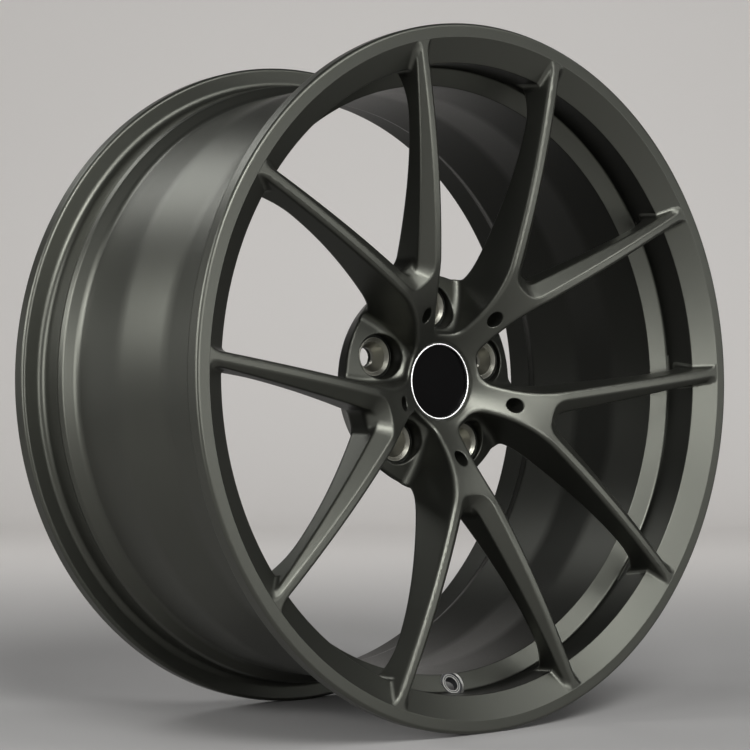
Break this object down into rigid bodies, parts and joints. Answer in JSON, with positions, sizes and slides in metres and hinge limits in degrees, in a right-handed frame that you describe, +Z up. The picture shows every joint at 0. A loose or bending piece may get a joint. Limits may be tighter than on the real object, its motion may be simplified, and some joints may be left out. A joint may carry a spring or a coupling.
{
  "type": "car wheel",
  "caption": "Forged car wheel: twin-spoke arms joining a wide rim to a deep hub, with pressed bolt seats and a clip-in centre cap that pulls off.",
  "frame": {"origin": "centre of the wheel, on the axle line at mid width of the rim", "axes": "+Y along the axle, from the outboard face towards the car; +Z up, with one arm pointing straight down; +X to the right seen from outboard"},
  "size_m": [0.5479, 0.2566, 0.548],
  "materials": {
    "rim_coat": "satin",
    "centre_coat": "satin",
    "seat_steel": "satin",
    "cap_plastic": "satin",
    "cap_chrome": "gloss",
    "cap_gloss": "gloss",
    "spring_steel": "satin"
  },
  "bodies": {
    "wheel": {"rim_barrel": "rim_coat", "wheel_centre": "centre_coat", "lug_seat_1": "seat_steel", "lug_seat_2": "seat_steel", "lug_seat_3": "seat_steel", "lug_seat_4": "seat_steel", "lug_seat_5": "seat_steel"},
    "centre_cap": {"cap_shell": "cap_plastic", "cap_trim_ring": "cap_chrome", "cap_disc": "cap_gloss", "cap_spring_ring": "spring_steel"}
  },
  "joints": [
    {"name": "cap_pull", "type": "slide", "parent": "wheel", "child": "centre_cap", "axis": [0, -1, 0], "range_m": [0, 0.06]}
  ]
}
